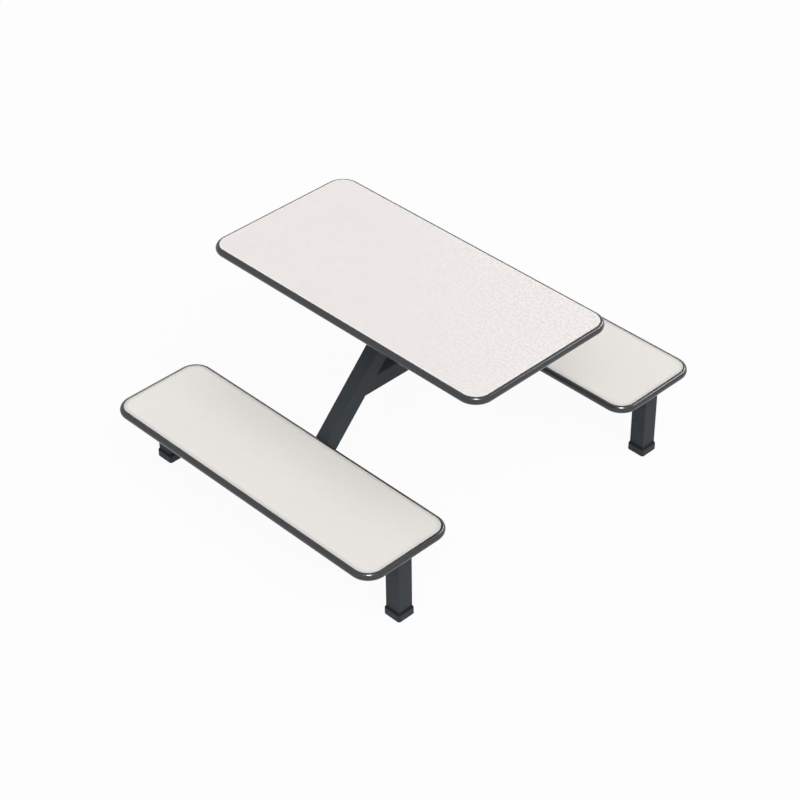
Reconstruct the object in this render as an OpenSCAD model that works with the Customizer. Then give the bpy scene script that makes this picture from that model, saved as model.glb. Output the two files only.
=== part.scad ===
// Kids desk with two bench seats on one steel frame.
// The desk stands on Z = 0 with its middle over the origin. X runs along the top and the seats,
// the near seat is on the -Y side and the far seat on the +Y side.

/* [Tabletop] */
// Length of the tabletop over its edge band, along X
table_l = 900; // [700:10:1200]
// Depth of the tabletop over its edge band, along Y
table_w = 450; // [380:10:560]
// Height of the tabletop's upper face above the floor
table_h = 514; // [480:2:620]

/* [Seats] */
// Length of each seat over its edge band, along X
seat_l = 892; // [700:2:1200]
// Depth of each seat over its edge band, along Y
seat_w = 270; // [230:5:320]
// Height of the seats' upper face above the floor
seat_h = 207; // [190:1:250]
// Distance from the middle of the desk to a seat's centre line
seat_y = 420; // [400:5:480]

/* [Boards] */
// Thickness of a finished board with its sheets
board_t = 20; // [16:1:22]
// Thickness of the laminate and of the backer sheet
sheet_t = 1; // [0.6:0.1:1.2]
// Radius of a board's corners over its edge band
corner_r = 50; // [36:1:80]
// Depth of the band's tongue in the board's groove
tongue_d = 8; // [6:0.5:12]
// Thickness of the band's tongue
tongue_t = 2.4; // [1.6:0.2:3.2]
// Clearance round the tongue in its groove
groove_gap = 0.2; // [0.1:0.05:0.4]

/* [Frame tubes] */
// Outside width of the square leg tube
leg_tube = 43.5; // [36:0.5:46]
// Outside width of the square tube of the other frame members
beam_tube = 42; // [34:1:44]
// Wall of all the tubes
wall = 2; // [1.5:0.25:3]
// Outside radius of the tubes' long edges
arris_r = 3; // [2:0.5:5]
// Distance from a seat's end to the centre of its legs
leg_inset = 43; // [36:1:60]
// Height of the crossbar's underside above the floor
crossbar_z = 268; // [262:1:290]
// How far under a seat's inner edge the frame bends up
bend_in = 5; // [0:0.5:8]
// Distance from the tabletop's end to the middle of its bearer
bearer_inset = 150; // [110:5:200]
// How far a spine runs on past the middle of its bearer
spine_over = 30; // [26:1:40]

/* [Plates and fixings] */
// Thickness of the plates that carry the boards
plate_t = 4; // [3:0.5:6]
// Width of a bearer plate, along X
bearer_w = 50; // [40:2:60]
// Distance from the tabletop's long edge to the end of a bearer
bearer_gap = 55; // [40:5:80]
// Size of the head plate over the king post, along X
head_l = 140; // [120:5:180]
// Size of the head plate over the king post, along Y
head_w = 200; // [120:5:240]
// Thickness of the flange at the outer end of a seat arm
flange_t = 5; // [4:0.5:8]
// How far the flange stands out on each side of the arm
flange_ear = 26; // [22:1:34]
// Shank diameter of the flange bolts
bolt_d = 8; // [6:1:10]
// Shank diameter of the wood screws
screw_d = 4; // [3:0.5:5]
// How far the wood screws reach into a board
screw_bite = 11; // [8:0.5:12]
// Distance from a plate's edge to its screws
screw_edge = 12; // [9:0.5:14]

/* [Foot caps and end plugs] */
// Outside width of a foot cap
cap_w = 50.5; // [47:0.5:54]
// Height of a foot cap
cap_h = 22.5; // [18:0.5:32]
// Height of the sloping shoulder round a foot cap's rim
cap_slope_h = 4.5; // [2:0.5:8]
// Thickness of a foot cap's sole
sole_t = 4; // [3:0.5:6]
// Thickness of the visible head of a spine's end plug
plug_head_t = 3; // [2:0.5:5]
// How far an end plug reaches into its tube
plug_d = 14; // [8:1:24]
// Clearance between plastic caps or plugs and the tubes they fit
cap_gap = 0.15; // [0.1:0.05:0.3]

/* [Hidden] */
$fn = 48;

// Colours
laminate_colour = [0.92, 0.91, 0.89];
band_colour = [0.16, 0.17, 0.18];
core_colour = [0.72, 0.60, 0.44];
backer_colour = [0.80, 0.79, 0.77];
paint_colour = [0.28, 0.30, 0.32];
plastic_colour = [0.10, 0.10, 0.11];
zinc_colour = [0.72, 0.73, 0.75];

// Boards: the half-round band stands out from the board by half of its thickness
band_r = board_t / 2;
table_under = table_h - board_t;
seat_under = seat_h - board_t;
pilot_gap = 0.05;
hole_gap = 0.25;

// Frame heights: the plates lie between the frame and the boards
table_frame_top = table_under - plate_t;
seat_frame_top = seat_under - plate_t;
beam_half = beam_tube / 2;
leg_half = leg_tube / 2;
leg_x = seat_l / 2 - leg_inset;

// The struts' upper faces would meet under the middle of the tabletop
bend_y = seat_y - seat_w / 2 + bend_in;
lean = atan2(table_under - seat_frame_top, bend_y);
crossbar_top = crossbar_z + beam_tube;
cut_size = 1200;

// Table plates
bearer_x = table_l / 2 - bearer_inset;
spine_end = bearer_x + spine_over;
bearer_l = table_w - 2 * bearer_gap;
bearer_row = [-1, -0.4, 0.4, 1];

// Seat plates: how far a leg's plate runs along the rail, past the leg and to its sides
along_rail = 42;
past_leg = 0.5;
beside_leg = 24;
leg_plate_in = leg_half + along_rail;
leg_plate_out = leg_half + past_leg;
leg_plate_w = leg_tube + 2 * beside_leg;
leg_screw_step = 2;
seat_plate_l = 120;
seat_plate_edge = 30;
seat_plate_out = seat_y + beam_half + seat_plate_edge;
seat_plate_in = bend_y + seat_plate_edge;

// Flange joint between a seat arm and its rail
rail_in_y = seat_y - beam_half;
rail_out_y = seat_y + beam_half;
flange_y = rail_in_y - flange_t;
bolt_x = beam_half + flange_ear / 2;
bolt_z = seat_frame_top - beam_half;
washer_t = bolt_d * 0.2;
washer_r = bolt_d;
hex_r = bolt_d * 0.94;
head_t = bolt_d * 0.66;
nut_t = bolt_d * 0.8;
bolt_over = 3;

// Wood screw head, its crown and its cross recess
screw_head_r = screw_d * 0.95;
screw_head_t = screw_d * 0.5;
screw_crown_r = screw_head_r * 0.75;
screw_rim_t = screw_head_t * 0.4;
screw_recess_w = screw_d * 0.22;
screw_recess_r = screw_head_r * 0.6;
screw_recess_t = screw_head_t * 0.6;
screw_tip = screw_d;

// Foot cap: its shoulder slopes over most of its wall, and its foot has a small chamfer
cap_pocket = leg_tube + 2 * cap_gap;
cap_slope_w = 0.8 * (cap_w - cap_pocket) / 2;
cap_chamfer = 1;
plate_r = 5;
plug_wall = 2;

// Plan outline of a board, or of the same board drawn in by inset
module board_plan(l, w, inset) {
    r = corner_r - inset;
    x = l / 2 - inset;
    y = w / 2 - inset;
    square([2 * x, 2 * (y - r)], center = true);
    square([2 * (x - r), 2 * y], center = true);
    for (sx = [-1, 1], sy = [-1, 1])
        translate([sx * (x - r), sy * (y - r)])
            circle(r);
}

// Core of a board with its edge groove and the pilot holes of its screws
module board_core(l, w, under, screw_places) {
    groove_t = tongue_t + 2 * groove_gap;
    difference() {
        translate([0, 0, under + sheet_t])
            linear_extrude(board_t - 2 * sheet_t)
                board_plan(l, w, band_r);
        translate([0, 0, under + (board_t - groove_t) / 2])
            linear_extrude(groove_t)
                difference() {
                    square([l, w], center = true);
                    board_plan(l, w, band_r + tongue_d + groove_gap);
                }
        for (p = screw_places)
            translate([p[0], p[1], under])
                cylinder(r = screw_d / 2 + pilot_gap, h = screw_bite + 1);
    }
}

// Thin sheet over the whole of a board's upper face
module laminate_sheet(l, w, under) {
    translate([0, 0, under + board_t - sheet_t])
        linear_extrude(sheet_t)
            board_plan(l, w, band_r);
}

// Thin sheet over a board's underside, with holes for the screws
module backer_sheet(l, w, under, screw_places) {
    translate([0, 0, under])
        linear_extrude(sheet_t)
            difference() {
                board_plan(l, w, band_r);
                for (p = screw_places)
                    translate([p[0], p[1]])
                        circle(screw_d / 2 + hole_gap);
            }
}

// Section of the edge band: a half round outside and a tongue inside, with X = 0 at the board's edge
module band_section() {
    translate([0, board_t / 2])
        intersection() {
            circle(band_r);
            translate([0, -band_r])
                square([band_r, board_t]);
        }
    translate([-tongue_d, (board_t - tongue_t) / 2])
        square([tongue_d + 1, tongue_t]);
}

// Edge band all round a board: four straight runs and four turned corners
module edge_band(l, w, under) {
    r = corner_r - band_r;
    x = l / 2 - corner_r;
    y = w / 2 - corner_r;
    translate([0, 0, under]) {
        for (turn = [0, 180])
            rotate([0, 0, turn]) {
                translate([x + r, y, 0])
                    rotate([90, 0, 0])
                        linear_extrude(2 * y)
                            band_section();
                translate([-x, y + r, 0])
                    rotate([90, 0, 90])
                        linear_extrude(2 * x)
                            band_section();
            }
        for (corner = [[x, y, 0], [-x, y, 90], [-x, -y, 180], [x, -y, 270]])
            translate([corner[0], corner[1], 0])
                rotate([0, 0, corner[2]])
                    rotate_extrude(angle = 90)
                        translate([r, 0])
                            band_section();
    }
}

// Rounded square, for tubes, caps and plates
module rounded_rect(a, b, r) {
    square([a - 2 * r, b], center = true);
    square([a, b - 2 * r], center = true);
    for (sx = [-1, 1], sy = [-1, 1])
        translate([sx * (a / 2 - r), sy * (b / 2 - r)])
            circle(r);
}

// Square tube of the given width, standing on its end
module tube(width, length) {
    linear_extrude(length)
        difference() {
            rounded_rect(width, width, arris_r);
            rounded_rect(width - 2 * wall, width - 2 * wall, max(arris_r - wall, 0.5));
        }
}

// Frame tube along X from x0 to x1, with its upper face at height top
module beam_x(x0, x1, y, top) {
    translate([x0, y, top - beam_half])
        rotate([90, 0, 90])
            tube(beam_tube, x1 - x0);
}

// Frame tube along Y from y0 to y1, with its upper face at height top
module beam_y(y0, y1, top) {
    translate([0, y1, top - beam_half])
        rotate([90, 0, 0])
            tube(beam_tube, y1 - y0);
}

// Large block to one side of a plane through (y, z) that leans by angle from the vertical
module cutter(y, z, angle, side) {
    translate([0, y, z])
        rotate([angle, 0, 0])
            translate([-cut_size / 2, side > 0 ? 0 : -cut_size, -cut_size / 2])
                cube(cut_size);
}

// Flat plate with rounded corners and screw holes, whose upper face is at height top
module plate(x, y, l, w, top, screw_places) {
    translate([0, 0, top - plate_t])
        linear_extrude(plate_t)
            difference() {
                translate([x, y])
                    rounded_rect(l, w, plate_r);
                for (p = screw_places)
                    translate([p[0], p[1]])
                        circle(screw_d / 2 + hole_gap);
            }
}

// Places of the screws, as the plates have them
head_screws = [for (sx = [-1, 1], sy = [-1, 1])
    [sx * (head_l / 2 - screw_edge), sy * (head_w / 2 - screw_edge)]];
function bearer_screws(side) = [for (share = bearer_row)
    [side * bearer_x, share * (bearer_l / 2 - screw_edge)]];
table_screws = concat(head_screws, bearer_screws(-1), bearer_screws(1));
function leg_plate_screws(sx, sy) = [for (across = [-1, 1])
    each [[sx * (leg_x - leg_plate_in + screw_edge), sy * seat_y + across * (leg_plate_w / 2 - screw_edge)],
          [sx * leg_x, sy * seat_y + across * (leg_plate_w / 2 - screw_edge + leg_screw_step)]]];
function seat_plate_screws(sy) = [for (sx = [-1, 1], y = [seat_plate_out - screw_edge, seat_plate_in + screw_edge])
    [sx * (seat_plate_l / 2 - screw_edge), sy * y]];
function seat_screws(sy) = concat(leg_plate_screws(-1, sy), leg_plate_screws(1, sy), seat_plate_screws(sy));

// Screw places of a seat in the seat's own plan, which is centred on its line
function in_seat(sy) = [for (p = seat_screws(sy)) [p[0], p[1] - sy * seat_y]];

// Pan head wood screw that points up from the underside of its plate
module wood_screw() {
    difference() {
        rotate_extrude()
            polygon([
                [0, -screw_head_t],
                [screw_crown_r, -screw_head_t],
                [screw_head_r, -screw_rim_t],
                [screw_head_r, 0],
                [screw_d / 2, 0],
                [screw_d / 2, plate_t + screw_bite - screw_tip],
                [0, plate_t + screw_bite]
            ]);
        for (turn = [0, 90])
            rotate([0, 0, turn])
                translate([-screw_recess_r, -screw_recess_w / 2, -screw_head_t - 1])
                    cube([2 * screw_recess_r, screw_recess_w, 1 + screw_recess_t]);
    }
}

// Wood screws at the given places under plates whose underside is at height under
module screw_group(places, under) {
    color(zinc_colour)
        for (p = places)
            translate([p[0], p[1], under])
                wood_screw();
}

// Boards of the desk
module tabletop_core() {
    color(core_colour)
        board_core(table_l, table_w, table_under, table_screws);
}
module tabletop_laminate() {
    color(laminate_colour)
        laminate_sheet(table_l, table_w, table_under);
}
module tabletop_backer() {
    color(backer_colour)
        backer_sheet(table_l, table_w, table_under, table_screws);
}
module tabletop_edge_band() {
    color(band_colour)
        edge_band(table_l, table_w, table_under);
}
module seat_core(sy) {
    color(core_colour)
        translate([0, sy * seat_y, 0])
            board_core(seat_l, seat_w, seat_under, in_seat(sy));
}
module seat_laminate(sy) {
    color(laminate_colour)
        translate([0, sy * seat_y, 0])
            laminate_sheet(seat_l, seat_w, seat_under);
}
module seat_backer(sy) {
    color(backer_colour)
        translate([0, sy * seat_y, 0])
            backer_sheet(seat_l, seat_w, seat_under, in_seat(sy));
}
module seat_edge_band(sy) {
    color(band_colour)
        translate([0, sy * seat_y, 0])
            edge_band(seat_l, seat_w, seat_under);
}
module near_seat_core() {
    seat_core(-1);
}
module near_seat_laminate() {
    seat_laminate(-1);
}
module near_seat_backer() {
    seat_backer(-1);
}
module near_seat_edge_band() {
    seat_edge_band(-1);
}
module far_seat_core() {
    seat_core(1);
}
module far_seat_laminate() {
    seat_laminate(1);
}
module far_seat_backer() {
    seat_backer(1);
}
module far_seat_edge_band() {
    seat_edge_band(1);
}

// Sloping strut on the near side, mitred to its seat arm and cut square to the king post
module near_strut() {
    reach = 2 * bend_y;
    color(paint_colour)
        difference() {
            translate([0, -bend_y + beam_half * sin(lean), seat_frame_top - beam_half * cos(lean)])
                rotate([lean - 90, 0, 0])
                    translate([0, 0, -beam_tube])
                        tube(beam_tube, reach);
            cutter(-bend_y, seat_frame_top, lean / 2, -1);
            cutter(-beam_half, seat_frame_top, 0, 1);
        }
}
module far_strut() {
    mirror([0, 1, 0])
        near_strut();
}

// Level arm under the near seat, from its mitre with the strut to its flange
module near_seat_arm() {
    color(paint_colour)
        difference() {
            beam_y(-flange_y, -bend_y + beam_tube, seat_frame_top);
            cutter(-bend_y, seat_frame_top, lean / 2, 1);
        }
}
module far_seat_arm() {
    mirror([0, 1, 0])
        near_seat_arm();
}

// Level bar between the struts, cut to their lower faces
module crossbar() {
    foot_y = bend_y - beam_tube * sin(lean);
    foot_z = seat_frame_top - beam_tube * cos(lean);
    color(paint_colour)
        difference() {
            beam_y(-bend_y, bend_y, crossbar_top);
            for (side = [0, 1])
                mirror([0, side, 0])
                    cutter(-foot_y, foot_z, lean - 90, -1);
        }
}

// Upright between the crossbar and the head plate, which carries the struts and the spines
module king_post() {
    color(paint_colour)
        translate([0, 0, crossbar_top])
            tube(beam_tube, table_frame_top - crossbar_top);
}

// Rails along the underside of the tabletop
module left_spine() {
    color(paint_colour)
        beam_x(-spine_end, -beam_half, 0, table_frame_top);
}
module right_spine() {
    color(paint_colour)
        beam_x(beam_half, spine_end, 0, table_frame_top);
}

// Plastic plug in the open end of a spine
module spine_plug(side) {
    spigot = beam_tube - 2 * wall - 2 * cap_gap;
    color(plastic_colour)
        translate([side * spine_end, 0, table_frame_top - beam_half])
            rotate([90, 0, side > 0 ? 90 : -90]) {
                linear_extrude(plug_head_t)
                    rounded_rect(beam_tube, beam_tube, arris_r);
                translate([0, 0, -plug_d])
                    linear_extrude(plug_d + plug_head_t / 2)
                        difference() {
                            square(spigot, center = true);
                            square(spigot - 2 * plug_wall, center = true);
                        }
            }
}
module left_spine_plug() {
    spine_plug(-1);
}
module right_spine_plug() {
    spine_plug(1);
}

// Plates that carry the tabletop
module head_plate() {
    color(paint_colour)
        plate(0, 0, head_l, head_w, table_under, head_screws);
}
module bearer(side) {
    color(paint_colour)
        plate(side * bearer_x, 0, bearer_w, bearer_l, table_under, bearer_screws(side));
}
module left_bearer() {
    bearer(-1);
}
module right_bearer() {
    bearer(1);
}

// Rail under a seat, between its two legs, with the holes of the flange bolts
module seat_rail(sy) {
    inner = leg_x - leg_half;
    color(paint_colour)
        difference() {
            beam_x(-inner, inner, sy * seat_y, seat_frame_top);
            for (sx = [-1, 1])
                translate([sx * bolt_x, sy * seat_y, bolt_z])
                    rotate([90, 0, 0])
                        cylinder(r = bolt_d / 2 + hole_gap, h = 2 * beam_tube, center = true);
        }
}
module near_seat_rail() {
    seat_rail(-1);
}
module far_seat_rail() {
    seat_rail(1);
}

// Plate over the rail and the arm, under the middle of a seat
module seat_plate(sy) {
    color(paint_colour)
        plate(0, sy * (seat_plate_out + seat_plate_in) / 2, seat_plate_l, seat_plate_out - seat_plate_in,
              seat_under, seat_plate_screws(sy));
}
module near_seat_plate() {
    seat_plate(-1);
}
module far_seat_plate() {
    seat_plate(1);
}

// Legs, their top plates and their foot caps
module leg(sx, sy) {
    color(paint_colour)
        translate([sx * leg_x, sy * seat_y, sole_t])
            tube(leg_tube, seat_frame_top - sole_t);
}
module leg_plate(sx, sy) {
    color(paint_colour)
        plate(sx * (leg_x + (leg_plate_out - leg_plate_in) / 2), sy * seat_y, leg_plate_in + leg_plate_out,
              leg_plate_w, seat_under, leg_plate_screws(sx, sy));
}
// Side view of a foot cap run along the whole cap: a chamfer at the floor and a sloping shoulder
module cap_side(turn) {
    half = cap_w / 2;
    rotate([0, 0, turn])
        translate([0, cap_w, 0])
            rotate([90, 0, 0])
                linear_extrude(2 * cap_w)
                    polygon([
                        [-half + cap_chamfer, 0],
                        [half - cap_chamfer, 0],
                        [half, cap_chamfer],
                        [half, cap_h - cap_slope_h],
                        [half - cap_slope_w, cap_h],
                        [-half + cap_slope_w, cap_h],
                        [-half, cap_h - cap_slope_h],
                        [-half, cap_chamfer]
                    ]);
}
module foot_cap(sx, sy) {
    round = arris_r + (cap_w - leg_tube) / 2;
    color(plastic_colour)
        translate([sx * leg_x, sy * seat_y, 0])
            difference() {
                intersection() {
                    linear_extrude(cap_h)
                        rounded_rect(cap_w, cap_w, round);
                    cap_side(0);
                    cap_side(90);
                }
                translate([0, 0, sole_t])
                    linear_extrude(cap_h)
                        rounded_rect(cap_pocket, cap_pocket, arris_r);
            }
}
module near_left_leg() {
    leg(-1, -1);
}
module near_right_leg() {
    leg(1, -1);
}
module far_left_leg() {
    leg(-1, 1);
}
module far_right_leg() {
    leg(1, 1);
}
module near_left_leg_plate() {
    leg_plate(-1, -1);
}
module near_right_leg_plate() {
    leg_plate(1, -1);
}
module far_left_leg_plate() {
    leg_plate(-1, 1);
}
module far_right_leg_plate() {
    leg_plate(1, 1);
}
module near_left_foot_cap() {
    foot_cap(-1, -1);
}
module near_right_foot_cap() {
    foot_cap(1, -1);
}
module far_left_foot_cap() {
    foot_cap(-1, 1);
}
module far_right_foot_cap() {
    foot_cap(1, 1);
}

// Bolted joint between a seat arm and its rail
module at_bolts(sy, y) {
    for (sx = [-1, 1])
        translate([sx * bolt_x, sy * y, bolt_z])
            rotate([sy > 0 ? -90 : 90, 0, 0])
                children();
}
module flange(sy) {
    color(paint_colour)
        difference() {
            translate([0, sy * flange_y, bolt_z])
                rotate([sy > 0 ? -90 : 90, 0, 0])
                    linear_extrude(flange_t)
                        rounded_rect(beam_tube + 2 * flange_ear, beam_tube, plate_r);
            at_bolts(sy, flange_y - 1)
                cylinder(r = bolt_d / 2 + hole_gap, h = flange_t + 2);
        }
}
module near_flange() {
    flange(-1);
}
module far_flange() {
    flange(1);
}
module flange_bolts(sy) {
    shank = rail_out_y - flange_y + 2 * washer_t + nut_t + bolt_over;
    color(zinc_colour)
        at_bolts(sy, rail_out_y + washer_t) {
            cylinder(r = hex_r, h = head_t, $fn = 6);
            translate([0, 0, -shank])
                cylinder(r = bolt_d / 2, h = shank + head_t / 2);
        }
}
module near_flange_bolts() {
    flange_bolts(-1);
}
module far_flange_bolts() {
    flange_bolts(1);
}
module flange_nuts(sy) {
    color(zinc_colour)
        at_bolts(sy, flange_y - washer_t - nut_t)
            difference() {
                cylinder(r = hex_r, h = nut_t, $fn = 6);
                translate([0, 0, -1])
                    cylinder(r = bolt_d / 2 + pilot_gap, h = nut_t + 2);
            }
}
module near_flange_nuts() {
    flange_nuts(-1);
}
module far_flange_nuts() {
    flange_nuts(1);
}
module flange_washers(sy) {
    color(zinc_colour)
        for (y = [flange_y - washer_t, rail_out_y])
            at_bolts(sy, y)
                difference() {
                    cylinder(r = washer_r, h = washer_t);
                    translate([0, 0, -1])
                        cylinder(r = bolt_d / 2 + hole_gap, h = washer_t + 2);
                }
}
module near_flange_washers() {
    flange_washers(-1);
}
module far_flange_washers() {
    flange_washers(1);
}

// Wood screws
module tabletop_screws() {
    screw_group(table_screws, table_frame_top);
}
module near_seat_screws() {
    screw_group(seat_screws(-1), seat_frame_top);
}
module far_seat_screws() {
    screw_group(seat_screws(1), seat_frame_top);
}

tabletop_core();
tabletop_laminate();
tabletop_backer();
tabletop_edge_band();
near_seat_core();
near_seat_laminate();
near_seat_backer();
near_seat_edge_band();
far_seat_core();
far_seat_laminate();
far_seat_backer();
far_seat_edge_band();
near_strut();
far_strut();
near_seat_arm();
far_seat_arm();
crossbar();
king_post();
left_spine();
right_spine();
left_spine_plug();
right_spine_plug();
head_plate();
left_bearer();
right_bearer();
near_seat_rail();
far_seat_rail();
near_seat_plate();
far_seat_plate();
near_left_leg();
near_right_leg();
far_left_leg();
far_right_leg();
near_left_leg_plate();
near_right_leg_plate();
far_left_leg_plate();
far_right_leg_plate();
near_left_foot_cap();
near_right_foot_cap();
far_left_foot_cap();
far_right_foot_cap();
near_flange();
far_flange();
near_flange_bolts();
far_flange_bolts();
near_flange_nuts();
far_flange_nuts();
near_flange_washers();
far_flange_washers();
tabletop_screws();
near_seat_screws();
far_seat_screws();
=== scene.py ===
"""Looks of the kids desk with seats: boards, edge moulding, frame, fixings, floor, lamps and camera.

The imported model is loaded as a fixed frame, in metres, and every piece takes its place from it.
A piece that stands for a CAD node has the node's name and one more word. What repeats is modelled
once, on the near or the left side, and its copies are mirrored over the desk's middle.
"""

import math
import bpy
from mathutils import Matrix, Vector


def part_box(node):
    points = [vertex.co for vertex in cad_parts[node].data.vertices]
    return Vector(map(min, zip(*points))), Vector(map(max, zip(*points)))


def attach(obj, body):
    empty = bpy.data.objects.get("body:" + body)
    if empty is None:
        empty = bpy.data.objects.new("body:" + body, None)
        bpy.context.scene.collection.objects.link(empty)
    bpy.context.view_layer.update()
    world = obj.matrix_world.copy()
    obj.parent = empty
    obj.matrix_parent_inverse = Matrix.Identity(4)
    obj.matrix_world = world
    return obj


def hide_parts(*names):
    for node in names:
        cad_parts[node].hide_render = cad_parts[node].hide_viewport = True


bl_info = {
    "name": "Kids Desk with Seats",
    "version": (1, 0, 0),
    "blender": (4, 5, 0),
    "location": "View3D > Sidebar > Desk",
    "description": "Models and finishes the desk's boards, frame and fixings, and sets up its studio",
    "category": "Add Mesh",
}

import bpy
from bpy.props import FloatProperty, FloatVectorProperty, IntProperty, PointerProperty
from mathutils import Matrix, Quaternion, Vector

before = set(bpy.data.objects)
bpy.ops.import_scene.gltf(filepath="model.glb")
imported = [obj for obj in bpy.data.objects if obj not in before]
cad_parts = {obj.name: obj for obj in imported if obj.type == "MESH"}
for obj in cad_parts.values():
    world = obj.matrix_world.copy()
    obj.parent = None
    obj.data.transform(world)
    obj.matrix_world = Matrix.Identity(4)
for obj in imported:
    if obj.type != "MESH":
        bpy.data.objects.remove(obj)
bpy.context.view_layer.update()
BODY = "root"
MM = 0.001

# Places closer together than this count as one
TOUCH = 0.01 * MM

# The words that change in a piece's name where it is mirrored along an axis
TWINS = {"X": ("left", "right"), "Y": ("near", "far")}

# Directions in the shared frame
RIGHT = Vector((1, 0, 0))
FAR = Vector((0, 1, 0))
UP = Vector((0, 0, 1))

# Directions with a cosine above this count as the same
ALIKE = 0.99

# Turns between two faces, in degrees, above which the edge between them stays sharp
SHARP = 40
MOULDING_SHARP = 50
WELD_SHARP = 60

# Faces along the small rounded edges and corners
BEVEL_STEPS = 2
WELD_STEPS = 2
CAP_EDGE_STEPS = 3
PLUG_EDGE_STEPS = 4
PLATE_CORNER_STEPS = 6
CAP_CORNER_STEPS = 8

# Plain white of the background, with its alpha
WHITE = (1.0, 1.0, 1.0, 1.0)


class BoardSettings(bpy.types.PropertyGroup):
    """Sizes of the boards' visible faces and edge moulding"""

    rim_bevel: FloatProperty(
        name="Rim bevel", description="Bevel round the table laminate's upper rim",
        default=0.3 * MM, unit="LENGTH")
    # Painted highlight: a bright line painted round the table laminate's rim, where its fine bevel would
    # catch the light
    rim_highlight_width: FloatProperty(
        name="Rim highlight width", description="Width of the bright line round the table laminate",
        default=2.6 * MM, unit="LENGTH")
    rim_core: FloatProperty(
        name="Rim core", description="Share of the bright line's width at its full strength",
        default=0.8, min=0, max=1, subtype="FACTOR")
    roll_width: FloatProperty(
        name="Roll width", description="Width of the seats' rolled rim",
        default=10 * MM, unit="LENGTH")
    roll_drop: FloatProperty(
        name="Roll drop", description="How far the seats' rolled rim falls",
        default=0.8 * MM, unit="LENGTH")
    roll_steps: IntProperty(
        name="Roll steps", description="Rings in the seats' rolled rim", default=6, min=2, max=12)
    # Painted shade: the seats' laminate is painted greyer towards its rim, where the rolled rim turns away
    # from the light
    rim_shade_width: FloatProperty(
        name="Rim shade width", description="Width of the greyer rim of the seats",
        default=13 * MM, unit="LENGTH")
    # Painted shade: the near seat is painted greyer on its side towards the table, where the table above
    # shades it
    shade_line: FloatProperty(
        name="Shade line", description="Where, along Y, the near seat would be greyest",
        default=-250 * MM, unit="LENGTH")
    shade_start: FloatProperty(
        name="Shade start", description="Distance from that line up to which the seat is greyest",
        default=20 * MM, unit="LENGTH")
    shade_end: FloatProperty(
        name="Shade end", description="Distance from that line at which the grey is gone",
        default=210 * MM, unit="LENGTH")
    # Painted sheen: the table's real pebble grain is painted lighter and darker more and more towards its far
    # right corner, as if catching the light
    sheen_start: FloatProperty(
        name="Sheen start", description="Sum of X and Y from which pebbles show on the table",
        default=-300 * MM, unit="LENGTH")
    sheen_end: FloatProperty(
        name="Sheen end", description="Sum of X and Y from which the pebbles show fully",
        default=620 * MM, unit="LENGTH")
    table_relief: FloatProperty(
        name="Table relief", description="Height of the fine grain of the table laminate",
        default=0.1 * MM, unit="LENGTH")
    seat_relief: FloatProperty(
        name="Seat relief", description="Height of the fine grain of the seats' laminate",
        default=0.05 * MM, unit="LENGTH")
    table_mottling: FloatProperty(
        name="Table mottling", description="Strength of the table laminate's blotches",
        default=0.2, min=0, max=1, subtype="FACTOR")
    seat_mottling: FloatProperty(
        name="Seat mottling", description="Strength of the seat laminate's blotches",
        default=0.1, min=0, max=1, subtype="FACTOR")
    corner_steps: IntProperty(
        name="Corner steps", description="Faces along each rounded corner of a board",
        default=20, min=8, max=48)
    moulding_points: IntProperty(
        name="Moulding points", description="Points round the edge moulding's whole circle",
        default=40, min=16, max=96)


class FrameSettings(bpy.types.PropertyGroup):
    """Sizes of the frame's finish"""

    arris: FloatProperty(
        name="Arris", description="Radius of the tubes' long edges",
        default=3 * MM, unit="LENGTH")
    arris_steps: IntProperty(
        name="Arris steps", description="Faces along each tube's rounded edge",
        default=5, min=2, max=12)
    plug_edge: FloatProperty(
        name="Plug edge", description="Radius round the face of an end plug",
        default=1.4 * MM, unit="LENGTH")
    weld_radius: FloatProperty(
        name="Weld radius", description="Radius of a weld bead",
        default=1.5 * MM, unit="LENGTH")
    plate_corner: FloatProperty(
        name="Plate corner", description="Radius of the plates' corners",
        default=5 * MM, unit="LENGTH")
    plate_bevel: FloatProperty(
        name="Plate bevel", description="Bevel round the plates' rims",
        default=0.5 * MM, unit="LENGTH")
    cap_corner: FloatProperty(
        name="Cap corner", description="Radius of a foot cap's upright edges",
        default=6.5 * MM, unit="LENGTH")
    cap_slope_width: FloatProperty(
        name="Cap slope width", description="How far a foot cap's shoulder slopes inwards",
        default=2.7 * MM, unit="LENGTH")
    cap_slope_height: FloatProperty(
        name="Cap slope height", description="Height of a foot cap's sloping shoulder",
        default=4.5 * MM, unit="LENGTH")
    cap_edge: FloatProperty(
        name="Cap edge", description="Radius of a foot cap's long edges",
        default=0.9 * MM, unit="LENGTH")
    cap_play: FloatProperty(
        name="Cap play", description="Gap between a leg and its cap",
        default=0.15 * MM, unit="LENGTH")
    cap_recess: FloatProperty(
        name="Cap recess", description="Depth of the gap between a leg and its cap",
        default=1.6 * MM, unit="LENGTH")
    # Painted shade: each foot cap is painted darker on its shoulder above the ridge, where it meets its leg
    cap_shade_fade: FloatProperty(
        name="Cap shade fade", description="Height over which a foot cap darkens above its ridge",
        default=1.5 * MM, unit="LENGTH")
    # Painted shade: each leg's paint is darkened just above its foot cap, where the joint lies in shade
    foot_shade_start: FloatProperty(
        name="Foot shade start", description="How far below its cap's rim a leg starts to clear",
        default=4 * MM, unit="LENGTH")
    foot_shade_height: FloatProperty(
        name="Foot shade height", description="How far up a leg its foot is darkened by painted shade",
        default=14 * MM, unit="LENGTH")


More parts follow.
